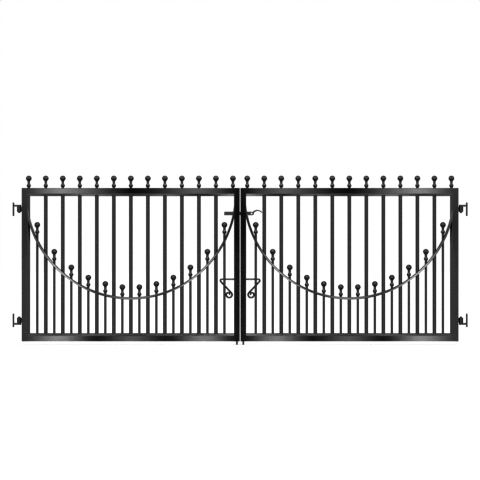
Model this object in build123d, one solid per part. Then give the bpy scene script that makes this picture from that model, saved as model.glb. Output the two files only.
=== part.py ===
from build123d import *
from math import asin, cos, pi, radians, sin, sqrt, tan
import os

# Low double driveway gate of two mirrored leaves, hung on four bolt-on pin brackets.
# Millimetres. X runs along the gate, Y points to its inner side, Z is up.
# The origin is the middle of the back face of the lower left bracket.

# Leaf layout
leaf_width = 1567.0
leaf_height = 1102.0
bay_count = 12              # bays from the first finial of a leaf to its last
end_margin = 48.5           # from an outermost finial to the edge of the leaf
meeting_gap = 6.0

# Frame: a flat face whose inner edge is bevelled on both sides
frame_depth = 40.0
frame_face = 40.0
bevel_width = 17.5
bevel_depth = 16.0
outer_edge_radius = 3.0
meeting_stile_width = 40.0

# Bars and bow
bar_diameter = 25.0
dog_bar_diameter = 16.0
bow_end_inset = 27.5        # from the edges of the leaf to the middle of the bow
bow_rise = 308.0            # from the bottom of the leaf to the middle of the bow at its lowest
bow_thickness = 16.0
bow_depth = 34.0
bow_seam = 0.3              # between its two quarter bends, at the lowest point
pierce_clearance = 0.3

# Round bars and finials are drawn with flat sides
side_count = 8

# Turned finials
ball_diameter = 40.0
ball_ring_angles = (-32.0, 0.0, 42.0, 85.0)   # above the level of the ball's centre
ball_centre_height = 69.5
throat_diameter = 19.0      # where the neck enters the ball
neck_diameter = 16.0
neck_height = 33.0
bead_diameter = 29.5
bead_height = 18.0
foot_height = 8.0
foot_diameter = 20.0        # on the top rail; on a dog bar the foot is as thick as the bar

# Hinges
lower_hinge_height = 150.0  # above the bottom of the leaf
hinge_spacing = 800.0
pin_diameter = 16.0
running_clearance = 0.3
eye_diameter = 31.0
eye_height = 38.0
shank_diameter = 16.0
eye_reach = 20.0            # from the stile to the pin's axis
plate_reach = 45.0          # from the back of the plate to the pin's axis
plate_thickness = 6.0
plate_width = 44.0
plate_height = 96.0
plate_corner_radius = 5.0
plate_hole_diameter = 11.0
plate_hole_spacing = 68.0
lug_thickness = 12.0
lug_width = 28.0
pin_overrun = 8.0           # beyond the eye
pin_chamfer = 2.0

# Drop bolts: one round bar bent into an arm, a brace and a scroll
bolt_diameter = 12.0
bolt_stand_off = 11.0       # from the stile's inner side to the bolt's axis
bolt_drop = 27.0            # below the leaf
bolt_chamfer = 2.0
arm_height = 445.0          # above the bottom of the leaf
arm_reach = 119.0           # from the bolt's axis
elbow_radius = 18.0
turn_radius = 10.0
brace_angle = 43.5          # below the level
brace_length = 105.0
scroll_radii = (20.0, 26.0, 15.0)
scroll_angles = (115.0, 45.0, 150.0)

# Bolt guides
guide_width = 26.0
guide_height = 24.0
lower_guide_height = 60.0   # above the bottom of the leaf
bolt_clearance = 0.4

# Latch
latch_drop = 182.0          # below the top of the leaf
latch_depth = 25.0
latch_thickness = 6.0
latch_stand_off = 6.0       # behind the stiles
latch_plain_reach = 91.0    # from the pivot to the plain end
latch_nose_reach = 123.0    # from the pivot to the rounded nose
latch_hole_diameter = 12.0
latch_hole_inset = 17.0     # from the nose
pivot_diameter = 12.0
pivot_washer_diameter = 24.0
pivot_head_width = 19.0     # across the flats
pivot_head_thickness = 5.0
tail_diameter = 9.0
tail_root_rise = 5.0
tail_rise = 22.0
tail_span = 58.0            # past the nose
catch_width = 30.0
catch_wall = 6.0
catch_lip = 12.0

# Places worked out from the sizes
bay_pitch = (leaf_width - 2 * end_margin) / bay_count
pin_x = plate_reach
leaf_x = pin_x + eye_reach
leaf_end_x = leaf_x + leaf_width
leaf_mid_x = leaf_x + leaf_width / 2
mid_x = leaf_end_x + meeting_gap / 2
first_x = leaf_x + end_margin
frame_width = frame_face + bevel_width
meeting_x = leaf_end_x - meeting_stile_width
stile_mid_x = leaf_end_x - meeting_stile_width / 2
foot_z = -lower_hinge_height
head_z = foot_z + leaf_height
back_y = frame_depth / 2
bow_radius = leaf_width / 2 - bow_end_inset
bow_centre_z = foot_z + bow_rise + bow_radius
bolt_y = back_y + bolt_stand_off
latch_z = head_z - latch_drop
latch_y = back_y + latch_stand_off
latch_back_y = latch_y + latch_thickness


def frame_section():
    """Stile or rail: the outer edge on the Y axis, the bevelled edge towards +X."""
    half = frame_depth / 2
    land = half - bevel_depth
    face = make_face(Polyline((0, -half), (frame_face, -half), (frame_width, -land), (frame_width, land),
                              (frame_face, half), (0, half), close=True))
    return fillet(face.vertices().group_by(Axis.X)[0], outer_edge_radius)


def plain_section():
    """Meeting stile: the outer edge on the Y axis."""
    face = Pos(meeting_stile_width / 2, 0) * Rectangle(meeting_stile_width, frame_depth)
    return fillet(face.vertices().group_by(Axis.X)[0], outer_edge_radius)


def rail(z, facing, stile):
    """A rail that faces up or down between the stiles and is coped over the hinge stile."""
    start = leaf_x + frame_face
    plane = Plane((start, 0, z), x_dir=(0, 0, facing), z_dir=(1, 0, 0))
    return extrude(plane * frame_section(), meeting_x - start) - stile


def ring(radius):
    """The outline of a bar or finial, with flat sides towards X and Y."""
    return RegularPolygon(radius, side_count, major_radius=False, rotation=180 / side_count)


def bent_bar(path, diameter):
    """A bar along a bent path, its corners on the round of the real one."""
    outline = RegularPolygon(diameter / 2, side_count, rotation=180 / side_count)
    return sweep(Plane(path @ 0, z_dir=path % 0) * outline, path=path)


def upright(x, low, high, diameter):
    """An upright bar in the middle plane of the gate."""
    return Pos(x, 0, low) * extrude(ring(diameter / 2), high - low)


def rod(x, low, high, diameter):
    """A round upright pin in the middle plane of the gate."""
    return Pos(x, 0, low) * extrude(Circle(diameter / 2), high - low)


def ring_corners(radius, z):
    """The corners of a flat-sided ring at one height."""
    reach = radius / cos(pi / side_count)
    turns = [(2 * side + 1) * pi / side_count for side in range(side_count)]
    return [Vector(reach * cos(turn), reach * sin(turn), z) for turn in turns]


def finial(lower_diameter):
    """A turned ball on a neck and a bead, standing on the XY plane, of flat faces from ring to ring."""
    foot, neck, throat = lower_diameter / 2, neck_diameter / 2, throat_diameter / 2
    bead, ball = bead_diameter / 2, ball_diameter / 2
    throat_z = ball_centre_height - sqrt(ball ** 2 - throat ** 2)
    turned = [(foot, 0), (foot, foot_height), (bead, bead_height), (neck, neck_height), (throat, throat_z)]
    for angle in map(radians, ball_ring_angles):
        turned.append((ball * cos(angle), ball_centre_height + ball * sin(angle)))
    rings = [ring_corners(radius, height) for radius, height in turned]
    outlines = [rings[0], rings[-1]]
    for low, high in zip(rings, rings[1:]):
        outlines += [(low[side - 1], low[side], high[side], high[side - 1]) for side in range(side_count)]
    return Solid(Shell([Face(Polyline(*outline, close=True).wire()) for outline in outlines]))


def bow_top(x):
    """Height at which the bead of a finial clears the bow on an upright at x."""
    offset = abs(x - leaf_mid_x)
    slope = asin(offset / bow_radius)
    middle_z = bow_centre_z - sqrt(bow_radius ** 2 - offset ** 2)
    return middle_z + bow_thickness / 2 / cos(slope) + bead_diameter / 2 * tan(slope)


def bow(frame, bar_xs, dog_bar_xs):
    """Two quarter bends of flat bar that end at the frame and meet at the bottom, pierced for the uprights."""
    outer, inner = bow_radius + bow_thickness / 2, bow_radius - bow_thickness / 2
    plane = Plane.XZ.offset(-bow_depth / 2)
    lower_half = Pos(0, -outer / 2) * Rectangle(2 * outer, outer)
    under_rail = Pos(0, head_z - frame_face - bow_centre_z - outer) * Rectangle(2 * outer, 2 * outer)
    bends = ((Circle(outer) - Circle(inner)) & lower_half & under_rail) - Rectangle(bow_seam, 2 * outer)
    solid = extrude(plane * Pos(leaf_mid_x, bow_centre_z) * bends, bow_depth)
    bar_holes = [upright(x, foot_z, head_z, bar_diameter + 2 * pierce_clearance) for x in bar_xs]
    dog_bar_holes = [upright(x, foot_z, head_z, dog_bar_diameter + 2 * pierce_clearance) for x in dog_bar_xs]
    return solid - frame - bar_holes - dog_bar_holes


def eye_bolt(z):
    """A hinge eye with its shank on the hinge stile."""
    eye = rod(pin_x, z - eye_height / 2, z + eye_height / 2, eye_diameter)
    shank = extrude(Plane((pin_x, 0, z), z_dir=(1, 0, 0)) * Circle(shank_diameter / 2), eye_reach)
    bore = rod(pin_x, z - eye_height, z + eye_height, pin_diameter + 2 * running_clearance)
    return eye + shank - bore


def bracket():
    """A drilled plate with a lug under the eye and a pin through it."""
    plate_plane = Plane((0, 0, 0), x_dir=(0, 1, 0), z_dir=(1, 0, 0))
    outline = RectangleRounded(plate_width, plate_height, plate_corner_radius)
    holes = [Pos(0, side * plate_hole_spacing / 2) * Circle(plate_hole_diameter / 2) for side in (-1, 1)]
    plate = extrude(plate_plane * (outline - holes), plate_thickness)
    lug_z = -eye_height / 2 - running_clearance
    lug_length = plate_reach - plate_thickness
    tongue = Pos(plate_thickness + lug_length / 2, 0) * Rectangle(lug_length, lug_width)
    lug_face = tongue + Pos(pin_x, 0) * Circle(lug_width / 2)
    lug = Pos(0, 0, lug_z - lug_thickness) * extrude(lug_face, lug_thickness)
    pin = rod(pin_x, lug_z - lug_thickness, eye_height / 2 + pin_overrun, pin_diameter)
    pin = chamfer(pin.edges().group_by(Axis.Z)[-1], pin_chamfer)
    return plate + lug + pin


def drop_bolt():
    """Bolt, arm, brace and scroll of one bent bar behind the meeting stile."""
    with BuildLine(Plane.XZ.offset(-bolt_y)) as path:
        stem = Line((stile_mid_x, foot_z - bolt_drop), (stile_mid_x, foot_z + arm_height - elbow_radius))
        elbow = JernArc(stem @ 1, stem % 1, elbow_radius, 90)
        arm = Line(elbow @ 1, elbow @ 1 + (elbow % 1) * (arm_reach - elbow_radius - turn_radius))
        turn = JernArc(arm @ 1, arm % 1, turn_radius, 180 - brace_angle)
        last = Line(turn @ 1, turn @ 1 + (turn % 1) * brace_length)
        for radius, angle in zip(scroll_radii, scroll_angles):
            last = JernArc(last @ 1, last % 1, radius, -angle)
    solid = bent_bar(path.wire(), bolt_diameter)
    return chamfer(solid.edges().group_by(Axis.Z)[0], bolt_chamfer)


def bolt_guide(z):
    """A lug with a round end that the drop bolt slides through."""
    tongue = Pos(stile_mid_x, back_y + bolt_stand_off / 2) * Rectangle(guide_width, bolt_stand_off)
    face = tongue + Pos(stile_mid_x, bolt_y) * Circle(guide_width / 2)
    hole = Pos(stile_mid_x, bolt_y) * Circle(bolt_diameter / 2 + bolt_clearance)
    return Pos(0, 0, z) * extrude(face - hole, guide_height)


def latch_bar():
    """Flat bar with a pivot hole, a lock hole near its round nose and a curved lifting tail."""
    nose_radius = latch_depth / 2
    straight = latch_plain_reach + latch_nose_reach - nose_radius
    nose_x = latch_nose_reach - nose_radius
    shank = Pos(nose_x - straight / 2, 0) * Rectangle(straight, latch_depth)
    face = shank + Pos(nose_x, 0) * Circle(nose_radius)
    face -= Circle(pivot_diameter / 2 + running_clearance)
    face -= Pos(latch_nose_reach - latch_hole_inset, 0) * Circle(latch_hole_diameter / 2)
    place = Pos(stile_mid_x, latch_z)
    flat = extrude(Plane.XZ.offset(-latch_back_y) * place * face, latch_thickness)
    with BuildLine(Plane.XZ.offset(-(latch_y + latch_thickness / 2))) as tail_line:
        root_x = stile_mid_x + nose_x + nose_radius / 2
        tip_x = stile_mid_x + latch_nose_reach + tail_span
        ThreePointArc((root_x, latch_z + tail_root_rise), ((root_x + tip_x) / 2, latch_z + tail_rise),
                      (tip_x, latch_z + tail_root_rise))
    return flat + bent_bar(tail_line.wire(), tail_diameter)


def latch_pivot():
    """Washer, pin and six-sided head that carry the latch bar on the left meeting stile."""
    foot = Plane((stile_mid_x, back_y, latch_z), z_dir=(0, 1, 0))
    pin_length = latch_stand_off + latch_thickness + running_clearance
    washer = extrude(foot * Circle(pivot_washer_diameter / 2), latch_stand_off - running_clearance)
    pin = extrude(foot * Circle(pivot_diameter / 2), pin_length)
    head_face = RegularPolygon(pivot_head_width / 2, 6, major_radius=False)
    head = extrude(foot.offset(pin_length) * head_face, pivot_head_thickness)
    return washer + pin + head


def latch_catch():
    """Hooked keep on the right meeting stile that the latch bar drops into."""
    slot_y = latch_y - running_clearance
    lip_y = latch_back_y + running_clearance
    ledge_z = latch_z - latch_depth / 2 - running_clearance
    low_z, lip_z, high_z = ledge_z - catch_wall, ledge_z + catch_lip, latch_z + latch_depth / 2
    outer_y = lip_y + catch_wall
    outline = Polyline((back_y, low_z), (outer_y, low_z), (outer_y, lip_z), (lip_y, lip_z), (lip_y, ledge_z),
                       (slot_y, ledge_z), (slot_y, high_z), (back_y, high_z), close=True)
    start_x = 2 * mid_x - stile_mid_x - catch_width / 2
    plane = Plane((start_x, 0, 0), x_dir=(0, 1, 0), z_dir=(1, 0, 0))
    return extrude(plane * make_face(outline), catch_width)


def left_leaf():
    """Every fixed piece of the left leaf, by name."""
    hinge_stile = Pos(leaf_x, 0, foot_z) * extrude(frame_section(), leaf_height)
    meeting_stile = Pos(leaf_end_x, 0, foot_z) * Rot(0, 0, 180) * extrude(plain_section(), leaf_height)
    top_rail = rail(head_z, -1, hinge_stile)
    bottom_rail = rail(foot_z, 1, hinge_stile)
    finial_xs = [first_x + bay * bay_pitch for bay in range(bay_count + 1)]
    bar_xs = finial_xs[1:-1]
    dog_bar_xs = [x + bay_pitch / 2 for x in finial_xs[:-1]]
    low_z, high_z = foot_z + frame_face, head_z - frame_face
    rail_finial, dog_finial = finial(foot_diameter), finial(dog_bar_diameter)
    upper_guide_z = foot_z + arm_height - elbow_radius - guide_height - bolt_clearance
    return {
        "hinge_stile": [hinge_stile],
        "meeting_stile": [meeting_stile],
        "top_rail": [top_rail],
        "bottom_rail": [bottom_rail],
        "bars": [upright(x, low_z, high_z, bar_diameter) - bottom_rail - top_rail for x in bar_xs],
        "dog_bars": [upright(x, low_z, bow_top(x), dog_bar_diameter) - bottom_rail for x in dog_bar_xs],
        "bow": [bow([hinge_stile, meeting_stile, top_rail], bar_xs, dog_bar_xs)],
        "top_finials": [Pos(x, 0, head_z) * rail_finial for x in finial_xs],
        "dog_finials": [Pos(x, 0, bow_top(x)) * dog_finial for x in dog_bar_xs],
        "eye_bolts": [eye_bolt(0), eye_bolt(hinge_spacing)],
        "bolt_guides": [bolt_guide(z) - meeting_stile for z in (foot_z + lower_guide_height, upper_guide_z)],
    }


def save(name, pieces):
    solids = [solid for piece in pieces for solid in piece.solids()]
    export_step(Compound(solids), f"parts/{name}.step")


def save_pair(name, pieces):
    """A piece of the left side and its mirror image on the right."""
    save(f"left_{name}", pieces)
    save(f"right_{name}", [mirror(piece, Plane.YZ.offset(mid_x)) for piece in pieces])


os.makedirs("parts", exist_ok=True)
for leaf_name, leaf_pieces in left_leaf().items():
    save_pair(leaf_name, leaf_pieces)
save_pair("brackets", [bracket(), Pos(0, 0, hinge_spacing) * mirror(bracket(), Plane.XY)])
save_pair("drop_bolt", [drop_bolt()])
save("latch_bar", [latch_bar()])
save("latch_pivot", [latch_pivot()])
save("latch_catch", [latch_catch()])
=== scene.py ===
import math

import bmesh
import bpy
from mathutils import Matrix, Vector


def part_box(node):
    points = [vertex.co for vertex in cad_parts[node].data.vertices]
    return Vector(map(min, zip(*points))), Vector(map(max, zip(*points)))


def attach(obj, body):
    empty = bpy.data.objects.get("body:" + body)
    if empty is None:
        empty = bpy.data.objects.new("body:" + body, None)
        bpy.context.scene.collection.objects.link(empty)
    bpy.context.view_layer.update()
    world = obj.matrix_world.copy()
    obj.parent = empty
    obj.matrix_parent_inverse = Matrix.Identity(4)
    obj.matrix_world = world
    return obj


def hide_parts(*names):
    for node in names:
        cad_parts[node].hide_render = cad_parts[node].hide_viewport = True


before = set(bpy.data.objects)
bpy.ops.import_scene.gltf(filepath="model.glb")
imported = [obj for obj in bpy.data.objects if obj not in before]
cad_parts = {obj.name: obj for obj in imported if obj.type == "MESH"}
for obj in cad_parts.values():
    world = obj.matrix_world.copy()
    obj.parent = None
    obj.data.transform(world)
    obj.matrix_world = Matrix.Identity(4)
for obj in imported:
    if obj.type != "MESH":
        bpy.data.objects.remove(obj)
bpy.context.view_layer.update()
print("frame loaded")

# places shared by the pieces, in metres, left leaf; the right leaf is its mirror image
gate = {
    "midX": 1.635, "leafX": 0.065, "leafEndX": 1.632, "footZ": -0.150, "headZ": 0.952,
    "firstX": 0.1135, "pitch": 0.1225, "bays": 12, "stileMidX": 1.612, "backY": 0.020,
}
finialXs = [gate["firstX"] + gate["pitch"] * k for k in range(gate["bays"] + 1)]
barXs = finialXs[1:-1]
dogXs = [x + gate["pitch"] / 2 for x in finialXs[:-1]]


# shader sums

class Value:
    # one output of a node, with the arithmetic that the finishes use
    def __init__(self, finish, socket):
        self.finish, self.socket = finish, socket

    def calc(self, operation, first, second):
        return self.finish.node("ShaderNodeMath", {"operation": operation}, {0: first, 1: second})

    def __add__(self, other):
        return self.calc("ADD", self, other)

    def __sub__(self, other):
        return self.calc("SUBTRACT", self, other)

    def __rsub__(self, other):
        return self.calc("SUBTRACT", other, self)

    def __mul__(self, other):
        return self.calc("MULTIPLY", self, other)

    def atLeast(self, other):
        return self.calc("MAXIMUM", self, other)

    def below(self, other):
        return self.calc("LESS_THAN", self, other)

    def size(self):
        return self.finish.node("ShaderNodeMath", {"operation": "ABSOLUTE"}, {0: self})

    __radd__, __rmul__ = __add__, __mul__


class Finish:
    # a node tree and the ways to fill it
    def __init__(self, tree):
        self.tree = tree
        tree.nodes.clear()

    def node(self, kind, settings=None, sockets=None, output=0):
        made = self.tree.nodes.new(kind)
        for key, value in (settings or {}).items():
            if key == "stops":  # of a ramp: place and grey
                ramp = made.color_ramp
                while len(ramp.elements) < len(value):
                    ramp.elements.new(0.5)
                for element, (place, grey) in zip(ramp.elements, value):
                    element.position, element.color = place, (grey, grey, grey, 1)
            else:
                setattr(made, key, value)
        for key, value in (sockets or {}).items():
            if isinstance(value, Value):
                self.tree.links.new(value.socket, made.inputs[key])
            else:
                made.inputs[key].default_value = value
        return Value(self, made.outputs[output]) if made.outputs else None

    def ramp(self, value, *stops):
        return self.node("ShaderNodeValToRGB", {"stops": stops}, {"Fac": value})

    def noise(self, place, scale, detail, rough=0.5):
        return self.node("ShaderNodeTexNoise", {"noise_dimensions": "3D"},
                         {"Vector": place, "Scale": scale, "Detail": detail, "Roughness": rough})

    def part(self, vector, letter):
        return self.node("ShaderNodeSeparateXYZ", None, {0: vector}, letter)

    def mixed(self, share, first, second):
        # 6 and 7 are the node's colour inputs, 2 its colour output
        return self.node("ShaderNodeMix", {"data_type": "RGBA"}, {0: share, 6: first, 7: second}, 2)


paint = {
    "black": (0.0085, 0.0085, 0.0090, 1), "dust": (0.055, 0.053, 0.049, 1), "worn": (0.16, 0.155, 0.15, 1),
    # scale, detail and roughness of each noise, and the value it varies about
    "cloud": (9.0, 4.0, 0.6), "fine": (75.0, 3.0, 0.6), "speck": (640.0, 1.0), "peel": (420.0, 1.0),
    "grainDetail": 2.0, "middle": 0.5, "peelHeight": 0.0000016,
    "speckStops": ((0.62, 0.0), (0.75, 1.0)), "speckShare": 0.10,
    "settleStops": ((0.36, 0.25), (0.66, 1.0)), "settleCloud": 0.6, "settleFine": 0.4,
    "wornStops": ((0.42, 0.0), (0.62, 1.0)),
    # how much each adds to the roughness
    "cloudRough": 0.03, "fineRough": 0.02, "dustRough": 0.35, "wornRough": 0.12,
}


def blackPaint(name, roughness, dustShare, grainScale, grainHeight, index=1.7, rub=None):
    material = bpy.data.materials.new(name)
    material.use_nodes = True
    f = Finish(material.node_tree)
    place = f.node("ShaderNodeTexCoord", None, None, "Object")
    normal = f.node("ShaderNodeNewGeometry", None, None, "Normal")
    up = f.part(normal, "Z").atLeast(0.0)
    cloud = f.noise(place, *paint["cloud"])
    fine = f.noise(place, *paint["fine"])
    speck = f.ramp(f.noise(place, *paint["speck"]), *paint["speckStops"])
    # dust settles on what faces up
    patches = f.ramp(cloud * paint["settleCloud"] + fine * paint["settleFine"], *paint["settleStops"])
    dust = up * up * patches * dustShare + speck * (paint["speckShare"] * dustShare)
    colour = f.mixed(dust, paint["black"], paint["dust"])
    gloss = roughness + (cloud - paint["middle"]) * paint["cloudRough"]
    gloss = gloss + (fine - paint["middle"]) * paint["fineRough"] + dust * paint["dustRough"]
    height = f.noise(place, *paint["peel"]) * paint["peelHeight"]
    height = height + f.noise(place, grainScale, paint["grainDetail"]) * grainHeight
    bump = f.node("ShaderNodeBump", None, {"Strength": 1.0, "Distance": 1.0, "Height": height})
    sockets = {"Base Color": colour, "Roughness": gloss, "IOR": index, "Normal": bump}
    if rub:  # paint rubbed thin where steel slides on steel
        worn = rub(f, place) * f.ramp(fine, *paint["wornStops"])
        sockets["Base Color"] = f.mixed(worn, colour, paint["worn"])
        sockets["Roughness"] = gloss + worn * paint["wornRough"]
        sockets["Metallic"] = worn
    shader = f.node("ShaderNodeBsdfPrincipled", None, sockets)
    f.node("ShaderNodeOutputMaterial", None, {"Surface": shader})
    return material


boltRub = {"fromZ": -0.200, "perMetre": 4.0, "stops": ((0.0, 1.0), (0.30, 0.55), (0.45, 0.0)), "share": 0.55}


def rubbedBolt(f, place):
    low = f.ramp((f.part(place, "Z") - boltRub["fromZ"]) * boltRub["perMetre"], *boltRub["stops"])
    return low * boltRub["share"]


# name, roughness, share of dust, scale and height of the grain under the paint, index
finishes = {
    "stile": blackPaint("stilePaint", 0.045, 0.5, 34.0, 0.000008),
    "rail": blackPaint("railPaint", 0.045, 0.5, 34.0, 0.000012),
    "bar": blackPaint("barPaint", 0.12, 0.4, 40.0, 0.00004),
    "bow": blackPaint("bowPaint", 0.05, 0.5, 40.0, 0.000012, 1.95),
    "cast": blackPaint("castPaint", 0.20, 0.5, 260.0, 0.00004),
    "forged": blackPaint("forgedPaint", 0.22, 0.4, 130.0, 0.00012),
    "bolt": blackPaint("boltPaint", 0.22, 0.4, 130.0, 0.00012, 1.77, rubbedBolt),
    "weld": blackPaint("weldPaint", 0.25, 0.4, 330.0, 0.00025),
}
print("finishes made")


# mesh tools

meshing = {
    "sharp": 38,  # degrees between faces that keep an edge sharp
    "flatWeight": 100,  # broad faces stay flat beside rounded edges
    "rimAngle": 1.2,  # radians; a plate's rims turn more than the steps of its corners
    "edgeSteps": 2, "endSteps": 3, "sectionSteps": 4, "cornerSteps": 10, "holeSteps": 32,
    "bendStep": 9, "leastBendSteps": 3,  # degrees to a step of a bend
    "merge": 0.00001,
    "hair": 0.00005,  # a full rounding stops this short of half a width
}
welds = {"ringSteps": 24, "ringSides": 6, "lineSides": 10, "lineRound": 0.8}


def finishPiece(name, bm, body, finish, nodes=()):
    bmesh.ops.recalc_face_normals(bm, faces=bm.faces)
    mesh = bpy.data.meshes.new(name)
    bm.to_mesh(mesh)
    bm.free()
    mesh.shade_smooth()
    mesh.set_sharp_from_angle(angle=math.radians(meshing["sharp"]))
    mesh.materials.append(finishes[finish])
    piece = bpy.data.objects.new(name, mesh)
    bpy.context.scene.collection.objects.link(piece)
    flats = piece.modifiers.new("flats", "WEIGHTED_NORMAL")
    flats.weight, flats.keep_sharp = meshing["flatWeight"], True
    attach(piece, body)
    if nodes:
        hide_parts(*nodes)


def bothLeaves(name, build, finish, node=None, body="leaf"):
    # the piece on the left and its mirror image on the right
    toRight = Matrix.Translation((2 * gate["midX"], 0, 0)) @ Matrix.Diagonal((-1, 1, 1, 1))
    for side in ("left", "right"):
        bm = bmesh.new()
        build(bm)
        if side == "right":
            bmesh.ops.transform(bm, matrix=toRight, verts=bm.verts)
        rider = "posts_side" if body == "posts" else f"{side}_{body}"
        finishPiece(side + name, bm, rider, finish, (f"{side}_{node}",) if node else ())


def newVerts(bm, before):
    return [v for v in bm.verts if v not in before]


def newFaces(bm, before):
    return [f for f in bm.faces if not any(v in before for v in f.verts)]


def edgesOf(verts):
    return list({e for v in verts for e in v.link_edges})


def only(geom, kind):
    return [g for g in geom if isinstance(g, kind)]


def roundOff(bm, geom, radius, steps, affect="EDGES", clamp=False):
    bmesh.ops.bevel(bm, geom=geom, offset=radius, segments=steps, profile=0.5, affect=affect, material=-1,
                    clamp_overlap=clamp)


def thicken(bm, faces, shift):
    grown = bmesh.ops.extrude_face_region(bm, geom=faces)["geom"]
    bmesh.ops.translate(bm, verts=only(grown, bmesh.types.BMVert), vec=shift)


def drawnBar(bm, corners, length, place, endRound):
    # a section in the YZ plane, each corner (y, z, radius), drawn out along X and then put in place
    before = set(bm.verts)
    verts = [bm.verts.new((0, y, z)) for y, z, radius in corners]
    bm.faces.new(verts)
    for vert, (y, z, radius) in zip(verts, corners):
        roundOff(bm, [vert], radius, meshing["sectionSteps"], "VERTICES")
    thicken(bm, newFaces(bm, before)[:1], (length, 0, 0))
    ends = {e for f in newFaces(bm, before) if len(f.verts) > 4 for e in f.edges}
    roundOff(bm, list(ends), endRound, meshing["edgeSteps"])
    bmesh.ops.transform(bm, matrix=place, verts=newVerts(bm, before))


def roundBar(bm, radius, low, high, sides, endRound=0.0):
    # a cylinder from one point to another, its ends rounded over
    before = set(bm.verts)
    low, high = Vector(low), Vector(high)
    bmesh.ops.create_cone(bm, cap_ends=True, segments=sides, radius1=radius, radius2=radius,
                          depth=(high - low).length)
    if endRound:
        caps = {e for v in newVerts(bm, before) for f in v.link_faces if len(f.verts) > 4 for e in f.edges}
        roundOff(bm, list(caps), endRound, meshing["endSteps"])
    turn = (high - low).to_track_quat("Z", "Y").to_matrix().to_4x4()
    bmesh.ops.transform(bm, matrix=Matrix.Translation((low + high) / 2) @ turn, verts=newVerts(bm, before))


def hexagon(bm, halfFlats, low, high, endRound):
    roundBar(bm, halfFlats / math.cos(math.pi / 6), low, high, 6, endRound)


def spunRing(bm, edges, before, steps):
    # a closed outline beside the Z axis, spun once round it
    bmesh.ops.spin(bm, geom=edges, cent=(0, 0, 0), axis=(0, 0, 1), angle=2 * math.pi, steps=steps,
                   use_merge=True)
    bmesh.ops.remove_doubles(bm, verts=newVerts(bm, before), dist=meshing["merge"])
    return newVerts(bm, before)


def weldRing(bm, radius, bead, place, bend):
    # a bead of weld round a bar; bend moves each vertex to follow the face below
    before = set(bm.verts)
    circle = bmesh.ops.create_circle(bm, segments=welds["ringSides"], radius=bead)["verts"]
    turn = Matrix.Translation((radius, 0, 0)) @ Matrix.Rotation(math.pi / 2, 4, "X")
    bmesh.ops.transform(bm, matrix=turn, verts=circle)
    verts = spunRing(bm, edgesOf(circle), before, welds["ringSteps"])
    for v in verts:
        v.co.z += bend(v.co)
    bmesh.ops.transform(bm, matrix=Matrix.Translation(place), verts=verts)


def weldLine(bm, start, end, bead):
    roundBar(bm, bead, start, end, welds["lineSides"], bead * welds["lineRound"])


def plateWithHoles(bm, lows, highs, rounds, holes, thickness, place, edgeRound):
    # a rectangle in the XY plane with rounded corners and round holes, given a thickness along Z
    before = set(bm.verts)
    outline = [(lows[0], lows[1]), (highs[0], lows[1]), (highs[0], highs[1]), (lows[0], highs[1])]
    verts = [bm.verts.new((x, y, 0)) for x, y in outline]
    bm.faces.new(verts)
    for vert, radius in zip(verts, rounds):
        if radius:
            roundOff(bm, [vert], radius, meshing["cornerSteps"], "VERTICES")
    face = newFaces(bm, before)[0]
    edges = list(face.edges)
    bmesh.ops.delete(bm, geom=[face], context="FACES_ONLY")
    for x, y, radius in holes:
        spot = Matrix.Translation((x, y, 0))
        made = bmesh.ops.create_circle(bm, segments=meshing["holeSteps"], radius=radius, matrix=spot)["verts"]
        edges += edgesOf(made)
    filled = bmesh.ops.triangle_fill(bm, edges=edges, use_beauty=True)["geom"]
    thicken(bm, only(filled, bmesh.types.BMFace), (0, 0, thickness))
    rims = [e for e in edgesOf(newVerts(bm, before))
            if len(e.link_faces) == 2 and e.calc_face_angle() > meshing["rimAngle"]]
    roundOff(bm, rims, edgeRound, meshing["edgeSteps"], clamp=True)
    bmesh.ops.transform(bm, matrix=place, verts=newVerts(bm, before))


def bentBar(bm, radius, start, heading, y, moves, sides, tipRound):
    # a round bar bent in the XZ plane; each move is a length, or a bend radius and degrees to the left
    before = set(bm.verts)
    loop = bmesh.ops.create_circle(bm, segments=sides, radius=radius)["verts"]
    x, z = start
    h = math.radians(heading)
    aim = Vector((math.cos(h), 0, math.sin(h))).to_track_quat("Z", "Y").to_matrix().to_4x4()
    bmesh.ops.transform(bm, matrix=Matrix.Translation((x, y, z)) @ aim, verts=loop)
    edges = edgesOf(loop)
    firstEdges = list(edges)
    for move in moves:
        if len(move) == 1:
            made = bmesh.ops.extrude_edge_only(bm, edges=edges)["geom"]
            shift = Vector((math.cos(h), 0, math.sin(h))) * move[0]
            bmesh.ops.translate(bm, verts=only(made, bmesh.types.BMVert), vec=shift)
            x, z = x + shift.x, z + shift.z
        else:
            bend, degrees = move
            hand = math.copysign(1, degrees)
            centre = Vector((x - math.sin(h) * bend * hand, y, z + math.cos(h) * bend * hand))
            steps = max(meshing["leastBendSteps"], round(abs(degrees) / meshing["bendStep"]))
            made = bmesh.ops.spin(bm, geom=edges, cent=centre, axis=(0, -1, 0), angle=math.radians(degrees),
                                  steps=steps)["geom_last"]
            h += math.radians(degrees)
            x = centre.x + math.sin(h) * bend * hand
            z = centre.z - math.cos(h) * bend * hand
        edges = only(made, bmesh.types.BMEdge)
    for rim in (firstEdges, edges):
        cap = bmesh.ops.edgeloop_fill(bm, edges=rim)["faces"]
        roundOff(bm, list(cap[0].edges), tipRound, meshing["endSteps"])
    return newVerts(bm, before)


print("tools ready")

# frame

section = {
    "face": 0.040, "bevelWidth": 0.0175, "bevelDepth": 0.016, "depth": 0.040, "outer": 0.003, "arris": 0.0012,
    "stileEnd": 0.0006, "railEnd": 0.0003,
    "weld": 0.0018, "weldSink": 0.0004, "weldFromFoot": 0.003, "weldFromBevel": 0.002,
}


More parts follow.
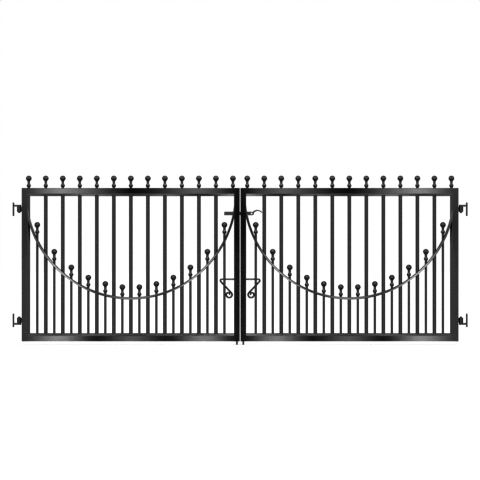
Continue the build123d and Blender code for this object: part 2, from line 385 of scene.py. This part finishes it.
def bevelledSection():
    half = section["depth"] / 2
    land = half - section["bevelDepth"]
    width = section["face"] + section["bevelWidth"]
    return [(-half, 0, section["outer"]), (-half, section["face"], section["arris"]),
            (-land, width, section["arris"]), (land, width, section["arris"]),
            (half, section["face"], section["arris"]), (half, 0, section["outer"])]


def plainSection():
    half, width, outer = section["depth"] / 2, section["face"], section["outer"]
    return [(-half, 0, outer), (-half, width, outer), (half, width, outer), (half, 0, outer)]


def stile(bm, corners, x, facing):
    toUpright = Matrix(((0, 0, facing, x), (0, 1, 0, 0), (1, 0, 0, gate["footZ"]), (0, 0, 0, 1)))
    drawnBar(bm, corners, gate["headZ"] - gate["footZ"], toUpright, section["stileEnd"])


def rail(bm, z, facing):
    start, end = gate["leafX"] + section["face"], gate["leafEndX"] - section["face"]
    place = Matrix.Translation((start, 0, z)) @ Matrix.Diagonal((1, 1, facing, 1))
    drawnBar(bm, bevelledSection(), end - start, place, section["railEnd"])


def frameWelds(bm):
    # butt welds on the back of the frame, where the rails meet the stiles
    y = section["depth"] / 2 - section["weldSink"]
    for x in (gate["leafX"] + section["face"], gate["leafEndX"] - section["face"]):
        for low in (gate["footZ"], gate["headZ"] - section["face"]):
            weldLine(bm, (x, y, low + section["weldFromFoot"]),
                     (x, y, low + section["face"] - section["weldFromBevel"]), section["weld"])


bothLeaves("HingeStile", lambda bm: stile(bm, bevelledSection(), gate["leafX"], 1), "stile", "hinge_stile")
bothLeaves("MeetingStile", lambda bm: stile(bm, plainSection(), gate["leafEndX"], -1), "stile", "meeting_stile")
bothLeaves("TopRail", lambda bm: rail(bm, gate["headZ"], -1), "rail", "top_rail")
bothLeaves("BottomRail", lambda bm: rail(bm, gate["footZ"], 1), "rail", "bottom_rail")
bothLeaves("FrameWelds", frameWelds, "weld")
print("frame drawn")

# uprights and bow

uprights = {"bar": 0.0125, "barSides": 28, "dogBar": 0.008, "dogBarSides": 24, "bead": 0.0022, "bowBead": 0.00176}
bowShape = {"radius": 0.756, "centreX": 0.8485, "centreZ": 0.914, "thickness": 0.016, "depth": 0.034,
            "arris": 0.0010, "steps": 112}
finialShape = {
    "bead": 0.01475, "footHeight": 0.008, "topFoot": 0.009, "dogFoot": 0.008,
    # radius and height of the turned outline above the foot
    "outline": [(0.0, 0.0), (0.0100, 0.0), (0.0100, 0.0070), (0.0110, 0.0085), (0.0132, 0.0118),
                (0.0144, 0.0150), (0.01475, 0.0180), (0.0144, 0.0210), (0.0132, 0.0240), (0.0110, 0.0272),
                (0.0092, 0.0298), (0.0082, 0.0322), (0.0080, 0.0345), (0.0081, 0.0385), (0.0085, 0.0430),
                (0.0090, 0.0480)],
    "throat": 0.0095, "ball": 0.020, "ballZ": 0.0695, "ballSteps": 14, "spinSteps": 28, "merge": 0.00002,
}


def bowLine(x):
    # height of the bow's middle line and its lean at x
    lean = math.asin((x - bowShape["centreX"]) / bowShape["radius"])
    return bowShape["centreZ"] - bowShape["radius"] * math.cos(lean), lean


def bowTop(x):
    # foot of a finial whose bead clears the bow
    z, lean = bowLine(x)
    return z + bowShape["thickness"] / 2 / math.cos(lean) + finialShape["bead"] * math.tan(abs(lean))


def turnedFinial(bm, footRadius):
    # the outline to the throat, then the ball's arc, spun about its axis
    shape = finialShape
    points = [(min(r, footRadius) if z < shape["footHeight"] else r, z) for r, z in shape["outline"]]
    line = [bm.verts.new((r, 0, z)) for r, z in points]
    for a, b in zip(line, line[1:]):
        bm.edges.new((a, b))
    throat = math.asin(shape["throat"] / shape["ball"])
    start = bm.verts.new((shape["throat"], 0, shape["ballZ"] - shape["ball"] * math.cos(throat)))
    bm.edges.new((line[-1], start))
    bmesh.ops.spin(bm, geom=[start], cent=(0, 0, shape["ballZ"]), axis=(0, -1, 0), angle=math.pi - throat,
                   steps=shape["ballSteps"])
    bmesh.ops.spin(bm, geom=list(bm.edges), cent=(0, 0, 0), axis=(0, 0, 1), angle=2 * math.pi,
                   steps=shape["spinSteps"], use_merge=True)
    bmesh.ops.remove_doubles(bm, verts=bm.verts, dist=shape["merge"])
    bmesh.ops.recalc_face_normals(bm, faces=bm.faces)


def finialRow(bm, places, footRadius):
    one = bmesh.new()
    turnedFinial(one, footRadius)
    pattern = bpy.data.meshes.new("finialPattern")
    one.to_mesh(pattern)
    one.free()
    for x, z in places:
        before = set(bm.verts)
        bm.from_mesh(pattern)
        bmesh.ops.translate(bm, verts=newVerts(bm, before), vec=(x, 0, z))
    bpy.data.meshes.remove(pattern)


def topFinials(bm):
    finialRow(bm, [(x, gate["headZ"]) for x in finialXs], finialShape["topFoot"])


def dogFinials(bm):
    finialRow(bm, [(x, bowTop(x)) for x in dogXs], finialShape["dogFoot"])


def bars(bm):
    low, high = gate["footZ"] + section["face"], gate["headZ"] - section["face"]
    for x in barXs:
        roundBar(bm, uprights["bar"], (x, 0, low), (x, 0, high), uprights["barSides"])


def dogBars(bm):
    low = gate["footZ"] + section["face"]
    for x in dogXs:
        roundBar(bm, uprights["dogBar"], (x, 0, low), (x, 0, bowTop(x)), uprights["dogBarSides"])


def bow(bm):
    inner, outer = (bowShape["radius"] + s * bowShape["thickness"] / 2 for s in (-1, 1))
    half = bowShape["depth"] / 2
    verts = [bm.verts.new((bowShape["centreX"] + r, y, bowShape["centreZ"]))
             for r, y in ((inner, -half), (outer, -half), (outer, half), (inner, half))]
    bm.faces.new(verts)
    roundOff(bm, verts, bowShape["arris"], meshing["endSteps"], "VERTICES")
    bmesh.ops.spin(bm, geom=list(bm.faces) + list(bm.edges) + list(bm.verts),
                   cent=(bowShape["centreX"], 0, bowShape["centreZ"]), axis=(0, 1, 0),
                   angle=math.pi, steps=bowShape["steps"])


def uprightWelds(bm):
    land = section["depth"] / 2 - section["bevelDepth"]
    slope = section["bevelWidth"] / section["bevelDepth"]
    width = section["face"] + section["bevelWidth"]
    for xs, radius in ((barXs, uprights["bar"]), (dogXs, uprights["dogBar"])):
        for x in xs:
            weldRing(bm, radius, uprights["bead"], (x, 0, gate["footZ"] + width),
                     lambda co: -max(0.0, abs(co.y) - land) * slope)
            if xs is barXs:
                weldRing(bm, radius, uprights["bead"], (x, 0, gate["headZ"] - width),
                         lambda co: max(0.0, abs(co.y) - land) * slope)
            z, lean = bowLine(x)
            rise = bowShape["thickness"] / 2 / math.cos(lean)
            for side in (-1, 1):
                weldRing(bm, radius, uprights["bowBead"], (x, 0, z + side * rise),
                         lambda co: co.x * math.tan(lean))


bothLeaves("Bars", bars, "bar", "bars")
bothLeaves("DogBars", dogBars, "bar", "dog_bars")
bothLeaves("Bow", bow, "bow", "bow")
bothLeaves("TopFinials", topFinials, "cast", "top_finials")
bothLeaves("DogFinials", dogFinials, "cast", "dog_finials")
bothLeaves("UprightWelds", uprightWelds, "weld")
print("uprights, bow and finials made")

# hinges

hinge = {
    "pinX": 0.045, "zs": (0.0, 0.800), "eye": 0.0155, "eyeHeight": 0.038, "eyeRound": 0.0022, "boreRound": 0.0006,
    "eyeSteps": 48, "shank": 0.008, "shankFromPin": 0.012, "shankIn": 0.002, "shankSides": 24,
    "nut": 0.012, "nutThickness": 0.0044, "nutRound": 0.0006,
    "pin": 0.008, "pinOver": 0.008, "pinRound": 0.002, "pinSides": 32, "clear": 0.0003, "sink": 0.001,
    "plate": (0.044, 0.096, 0.006), "plateCorner": 0.005, "plateRound": 0.0008, "hole": 0.0055, "holeSpacing": 0.068,
    "lug": (0.028, 0.012), "lugRound": 0.0012, "bead": 0.0025,
}


def hingeEye(bm, z):
    before = set(bm.verts)
    half, bore = hinge["eyeHeight"] / 2, hinge["pin"] + hinge["clear"]
    corners = ((bore, -half, hinge["boreRound"]), (hinge["eye"], -half, hinge["eyeRound"]),
               (hinge["eye"], half, hinge["eyeRound"]), (bore, half, hinge["boreRound"]))
    verts = [bm.verts.new((r, 0, h)) for r, h, radius in corners]
    bm.faces.new(verts)
    for vert, (r, h, radius) in zip(verts, corners):
        roundOff(bm, [vert], radius, meshing["endSteps"], "VERTICES")
    face = newFaces(bm, before)[0]
    edges = list(face.edges)
    bmesh.ops.delete(bm, geom=[face], context="FACES_ONLY")
    ring = spunRing(bm, edges, before, hinge["eyeSteps"])
    bmesh.ops.translate(bm, verts=ring, vec=(hinge["pinX"], 0, z))


def eyeBolts(bm):
    for z in hinge["zs"]:
        hingeEye(bm, z)
        roundBar(bm, hinge["shank"], (hinge["pinX"] + hinge["shankFromPin"], 0, z),
                 (gate["leafX"] + hinge["shankIn"], 0, z), hinge["shankSides"])
        hexagon(bm, hinge["nut"], (gate["leafX"] - hinge["nutThickness"], 0, z), (gate["leafX"], 0, z),
                hinge["nutRound"])


def brackets(bm):
    width, height, thick = hinge["plate"]
    lugWidth, lugThick = hinge["lug"]
    half, full = lugWidth / 2, lugWidth / 2 - meshing["hair"]
    top = -hinge["eyeHeight"] / 2 - hinge["clear"]  # of the lug, seen from the middle of the eye
    for z, sign in zip(hinge["zs"], (1, -1)):  # the upper bracket is upside down
        toWall = Matrix(((0, 0, 1, 0), (1, 0, 0, 0), (0, sign, 0, z), (0, 0, 0, 1)))
        plateWithHoles(bm, (-width / 2, -height / 2), (width / 2, height / 2), [hinge["plateCorner"]] * 4,
                       [(0, s * hinge["holeSpacing"] / 2, hinge["hole"]) for s in (-1, 1)], thick, toWall,
                       hinge["plateRound"])
        level = Matrix(((1, 0, 0, 0), (0, 1, 0, 0), (0, 0, sign, z + sign * (top - lugThick)), (0, 0, 0, 1)))
        plateWithHoles(bm, (thick - hinge["sink"], -half), (hinge["pinX"] + half, half), [0, full, full, 0],
                       [], lugThick, level, hinge["lugRound"])
        low, high = sorted((z + sign * (top - hinge["sink"]),
                            z + sign * (hinge["eyeHeight"] / 2 + hinge["pinOver"])))
        roundBar(bm, hinge["pin"], (hinge["pinX"], 0, low), (hinge["pinX"], 0, high), hinge["pinSides"],
                 hinge["pinRound"])
        rootZs = [z + sign * edge for edge in (top - lugThick, top)]
        for rootZ in rootZs:
            weldLine(bm, (thick, -half, rootZ), (thick, half, rootZ), hinge["bead"])
        for y in (-half, half):
            weldLine(bm, (thick, y, rootZs[0]), (thick, y, rootZs[1]), hinge["bead"])


bothLeaves("EyeBolts", eyeBolts, "forged", "eye_bolts")
bothLeaves("Brackets", brackets, "forged", "brackets", "posts")
print("hinges made")

# drop bolts

dropBolt = {
    "radius": 0.006, "sides": 20, "tipRound": 0.002, "y": 0.031, "tip": -0.177, "armZ": 0.295, "armReach": 0.119,
    "elbow": 0.018, "turn": 0.010, "brace": 0.110, "braceAngle": 46.7,
    "scroll": ((0.021, 223), (0.015, 90), (0.0095, 130)),  # bend radius and degrees, tighter towards the end
}
guides = {"width": 0.026, "height": 0.024, "lows": (-0.090, 0.2526), "standOff": 0.011, "hole": 0.0064,
          "edgeRound": 0.0012, "bead": 0.0022}


def dropBolts(bm):
    b = dropBolt
    stem = b["armZ"] - b["elbow"] - b["tip"]
    moves = [(stem,), (b["elbow"], 90), (b["armReach"] - b["elbow"] - b["turn"],),
             (b["turn"], 180 - b["braceAngle"]), (b["brace"],)]
    moves += [(radius, -degrees) for radius, degrees in b["scroll"]]
    bentBar(bm, b["radius"], (gate["stileMidX"], b["tip"]), 90, b["y"], moves, b["sides"], b["tipRound"])


def boltGuides(bm):
    half = guides["width"] / 2
    full = half - meshing["hair"]
    for low in guides["lows"]:
        place = Matrix.Translation((gate["stileMidX"], gate["backY"], low))
        plateWithHoles(bm, (-half, 0), (half, guides["standOff"] + half), [0, 0, full, full],
                       [(0, guides["standOff"], guides["hole"])], guides["height"], place, guides["edgeRound"])
        for side in (-1, 1):
            x = gate["stileMidX"] + side * half
            weldLine(bm, (x, gate["backY"], low), (x, gate["backY"], low + guides["height"]), guides["bead"])


bothLeaves("DropBolt", dropBolts, "bolt", "drop_bolt", "bolt")
bothLeaves("BoltGuides", boltGuides, "forged", "bolt_guides")
print("drop bolts made")

# latch

latch = {
    "z": 0.770, "y": 0.026, "thick": 0.006, "depth": 0.025, "plain": 0.091, "nose": 0.123, "hole": 0.006,
    "holeInset": 0.017, "pivotHole": 0.0063, "heelCorner": 0.001, "edgeRound": 0.0009, "clear": 0.0003,
    "tail": 0.0052, "tailTip": 0.0024, "tailSides": 14, "tailRound": 0.001, "span": 0.058, "rise": 0.022,
    "rootRise": 0.005,
}
pivot = {"washer": 0.012, "washerSides": 36, "washerRound": 0.0006, "pin": 0.006, "pinSides": 24, "pinOver": 0.001,
         "head": 0.0095, "headThick": 0.005, "headRound": 0.0008}
catch = {"lip": 0.012, "edgeRound": 0.0008, "bead": 0.002}


def latchBar(bm):
    half = latch["depth"] / 2
    heel, full = latch["heelCorner"], half - meshing["hair"]
    place = Matrix(((1, 0, 0, gate["stileMidX"]), (0, 0, 1, latch["y"]), (0, 1, 0, latch["z"]), (0, 0, 0, 1)))
    plateWithHoles(bm, (-latch["plain"], -half), (latch["nose"], half), [heel, full, full, heel],
                   [(latch["nose"] - latch["holeInset"], 0, latch["hole"]), (0, 0, latch["pivotHole"])],
                   latch["thick"], place, latch["edgeRound"])
    # the tail is an arc through its root, crown and tip
    rootX = gate["stileMidX"] + latch["nose"] - half / 2
    tipX = gate["stileMidX"] + latch["nose"] + latch["span"]
    chord, sag = tipX - rootX, latch["rise"] - latch["rootRise"]
    arc = (chord ** 2 / 4 + sag ** 2) / (2 * sag)
    sweep = 2 * math.asin(chord / 2 / arc)
    middle = latch["y"] + latch["thick"] / 2
    verts = bentBar(bm, latch["tail"], (rootX, latch["z"] + latch["rootRise"]), math.degrees(sweep / 2), middle,
                    [(arc, -math.degrees(sweep))], latch["tailSides"], latch["tailRound"])
    centre = Vector(((rootX + tipX) / 2, middle, latch["z"] + latch["rise"] - arc))
    for v in verts:  # drawn down to a thin tip
        out = v.co - centre
        out.y = 0
        line = centre + out.normalized() * arc
        share = min(1.0, max(0.0, (line.x - rootX) / chord))
        width = 1 - share * (1 - latch["tailTip"] / latch["tail"])
        v.co = line + (v.co - line) * width


def latchPivot(bm):
    x, z, start = gate["stileMidX"], latch["z"], gate["backY"]
    front = latch["y"] + latch["thick"]
    head = front + latch["clear"]
    roundBar(bm, pivot["washer"], (x, start, z), (x, latch["y"] - latch["clear"], z), pivot["washerSides"],
             pivot["washerRound"])
    roundBar(bm, pivot["pin"], (x, start, z), (x, front + pivot["pinOver"], z), pivot["pinSides"])
    hexagon(bm, pivot["head"], (x, head, z), (x, head + pivot["headThick"], z), pivot["headRound"])


def latchCatch(bm):
    low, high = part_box("latch_catch")
    ledge = latch["z"] - latch["depth"] / 2 - latch["clear"]
    backY, lipY = latch["y"] - latch["clear"], latch["y"] + latch["thick"] + latch["clear"]
    lipZ = ledge + catch["lip"]
    outline = [(low.y, low.z), (high.y, low.z), (high.y, lipZ), (lipY, lipZ), (lipY, ledge), (backY, ledge),
               (backY, high.z), (low.y, high.z)]
    face = bm.faces.new([bm.verts.new((low.x, y, z)) for y, z in outline])
    thicken(bm, [face], (high.x - low.x, 0, 0))
    rims = [e for e in bm.edges if e.is_convex and e.calc_face_angle() > meshing["rimAngle"]]
    roundOff(bm, rims, catch["edgeRound"], meshing["edgeSteps"])
    for z in (low.z, high.z):
        weldLine(bm, (low.x, low.y, z), (high.x, low.y, z), catch["bead"])


for name, build, body, node in (("latchBar", latchBar, "latch", "latch_bar"),
                                ("latchPivot", latchPivot, "left_leaf", "latch_pivot"),
                                ("latchCatch", latchCatch, "right_leaf", "latch_catch")):
    bm = bmesh.new()
    build(bm)
    finishPiece(name, bm, body, "forged", (node,))
print("latch made")

# studio

studio = {
    "floorZ": -0.1785, "floorHalf": 30.0, "floorColour": (0.80, 0.80, 0.80, 1), "floorRough": 0.9, "floorGlow": 0.72,
    "camera": (1.6343, -12.96, 0.5786), "lens": 135.0, "sensor": 36.0, "clipEnd": 200.0,
    "lampPlace": (1.635, -0.75, 2.50), "lampWidth": 0.90, "lampLength": 0.60, "lampPower": 15.0,
    "fill": 0.40, "reflected": 14.9, "firstBounce": 2.5,
    # how bright the room looks in gloss, from straight ahead to the side:
    # below, at and above eye level, and far up or down
    "sideScale": 8.0, "tiltScale": 10.0,
    "below": ((0.0, 0.0), (0.028, 0.01), (0.045, 0.12), (0.158, 0.55), (0.32, 0.0), (0.478, 0.36),
              (0.64, 0.0), (0.80, 0.60), (0.945, 0.135)),
    "level": ((0.0, 0.0), (0.03, 0.03), (0.90, 0.05), (0.945, 0.135)),
    "above": ((0.0, 0.0), (0.028, 0.01), (0.045, 0.12), (0.187, 0.36), (0.40, 0.08), (0.487, 0.0),
              (0.80, 0.56), (0.945, 0.135)),
    "steep": ((0.0, 0.46), (0.04, 0.42), (0.158, 0.03), (0.318, 0.32), (0.478, 0.10), (0.68, 0.36),
              (0.80, 0.12), (0.93, 0.24)),
    # and away to the sides, from the ground up
    "side": ((0.0, 0.03), (0.15, 0.04), (0.36, 0.14), (0.46, 0.165), (0.60, 0.20), (0.82, 0.27), (1.0, 0.20)),
    # where each gives way to the next
    "toLevel": ((0.40, 0.0), (0.54, 1.0)), "toAbove": ((0.62, 0.0), (0.70, 1.0)),
    "toSteep": ((0.55, 0.0), (0.85, 1.0)), "toSide": ((0.975, 0.0), (1.0, 1.0)),
    # the far side is dim, except from below
    "behind": ((0.55, 0.0), (0.64, 1.0)), "dim": ((0.08, 0.9), (0.20, 0.1)),
}


def addFloor():
    bm = bmesh.new()
    bmesh.ops.create_grid(bm, x_segments=1, y_segments=1, size=studio["floorHalf"])
    bmesh.ops.translate(bm, verts=bm.verts, vec=(gate["midX"], 0, studio["floorZ"]))
    mesh = bpy.data.meshes.new("floor")
    bm.to_mesh(mesh)
    bm.free()
    floor = bpy.data.objects.new("floor", mesh)
    bpy.context.scene.collection.objects.link(floor)
    material = bpy.data.materials.new("paleFloor")
    material.use_nodes = True
    f = Finish(material.node_tree)
    shader = f.node("ShaderNodeBsdfPrincipled", None,
                    {"Base Color": studio["floorColour"], "Roughness": studio["floorRough"],
                     "Specular IOR Level": 0.0, "Emission Color": (1, 1, 1, 1),
                     "Emission Strength": studio["floorGlow"]})
    f.node("ShaderNodeOutputMaterial", None, {"Surface": shader})
    mesh.materials.append(material)
    floor.visible_glossy = False


def addLamp():
    light = bpy.data.lights.new("overhead", "AREA")
    light.shape, light.energy = "RECTANGLE", studio["lampPower"]
    light.size, light.size_y = studio["lampWidth"], studio["lampLength"]
    lamp = bpy.data.objects.new("overhead", light)
    lamp.location, lamp.visible_camera = studio["lampPlace"], False
    bpy.context.scene.collection.objects.link(lamp)


def addRoom():
    # white behind the gate, soft fill, and dim upright panels that only gloss shows
    world = bpy.data.worlds.new("room")
    bpy.context.scene.world = world
    world.use_nodes = True
    f = Finish(world.node_tree)
    way = f.node("ShaderNodeTexCoord", None, None, "Generated")
    x, y, z = f.part(way, "X").size(), f.part(way, "Y"), f.part(way, "Z")
    across, tilt = x * studio["sideScale"], z * studio["tiltScale"] + 0.5
    below, level, above, steep = (f.ramp(across, *studio[part]) for part in ("below", "level", "above", "steep"))
    flat = below + (level - below) * f.ramp(tilt, *studio["toLevel"])
    flat = flat + (above - flat) * f.ramp(tilt, *studio["toAbove"])
    ahead = flat + (steep - flat) * f.ramp(z.size(), *studio["toSteep"])
    side = f.ramp(z * 0.5 + 0.5, *studio["side"])
    panels = ahead + (side - ahead) * f.ramp(across, *studio["toSide"])
    behind = f.ramp(y * 0.5 + 0.5, *studio["behind"])
    panels = panels * (1 - behind * f.ramp(0 - z, *studio["dim"]))
    seen, glossy, depth = (f.node("ShaderNodeLightPath", None, None, kind)
                           for kind in ("Is Camera Ray", "Is Glossy Ray", "Ray Depth"))
    gloss = glossy * depth.below(studio["firstBounce"])  # panels show in a first reflection alone
    strength = seen + (1 - seen) * (gloss * panels * studio["reflected"] + (1 - gloss) * studio["fill"])
    room = f.node("ShaderNodeBackground", None, {"Color": (1, 1, 1, 1), "Strength": strength})
    f.node("ShaderNodeOutputWorld", None, {"Surface": room})


def addCamera():
    camera = bpy.data.cameras.new("camera")
    camera.lens, camera.sensor_width, camera.clip_end = studio["lens"], studio["sensor"], studio["clipEnd"]
    holder = bpy.data.objects.new("camera", camera)
    holder.location, holder.rotation_euler = studio["camera"], (math.pi / 2, 0, 0)
    bpy.context.scene.collection.objects.link(holder)
    bpy.context.scene.camera = holder


addFloor()
addLamp()
addRoom()
addCamera()
bpy.context.scene.view_settings.view_transform = "Raw"  # thin bars keep their weight against white
print("studio set")
